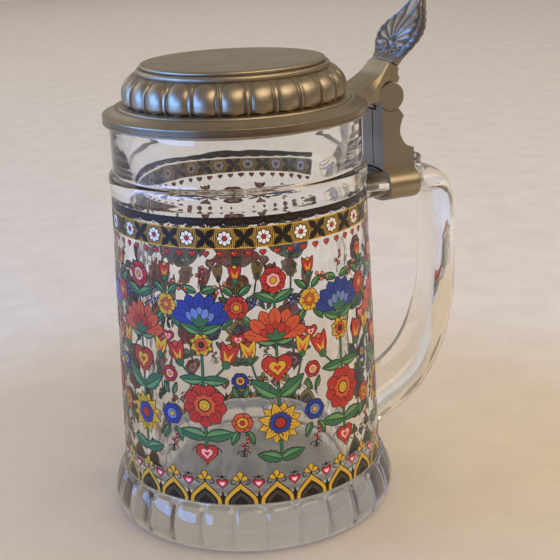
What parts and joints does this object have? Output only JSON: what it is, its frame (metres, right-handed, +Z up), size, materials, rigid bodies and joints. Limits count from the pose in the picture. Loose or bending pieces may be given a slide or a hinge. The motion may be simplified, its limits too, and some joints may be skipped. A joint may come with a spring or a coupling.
{
  "type": "beer mug",
  "caption": "Straight-sided pressed glass beer mug with a cushion-panelled foot, folk-pattern print, handle, and a hinged metal lid with a shell thumb lift.",
  "frame": {"origin": "centre of the mug's plain underside, on the surface that it stands on", "axes": "+Z up along the mug's axis, +X towards the handle and hinge, +Y along the hinge pin"},
  "size_m": [0.1389, 0.104, 0.1811],
  "materials": {
    "glass": "clear pressed glass, fire polished, with an enamel print on the body",
    "pewter": "satin cast pewter, warm grey",
    "dark_pewter": "cast pewter with a dark bluish patina, tips rubbed bright",
    "pin_steel": "drawn steel wire"
  },
  "bodies": {
    "mug": {"glass_mug": "glass", "handle_collar": "pewter", "hinge_bracket": "pewter", "hinge_pin": "pin_steel"},
    "lid": {"lid": "pewter", "lid_strap": "pewter", "thumb_lift": "dark_pewter"}
  },
  "joints": [
    {"name": "lid_hinge", "type": "hinge", "parent": "mug", "child": "lid", "pos_m": [0.0583, 0, 0.1447], "axis": [0, 1, 0], "range_deg": [0, 105]}
  ]
}
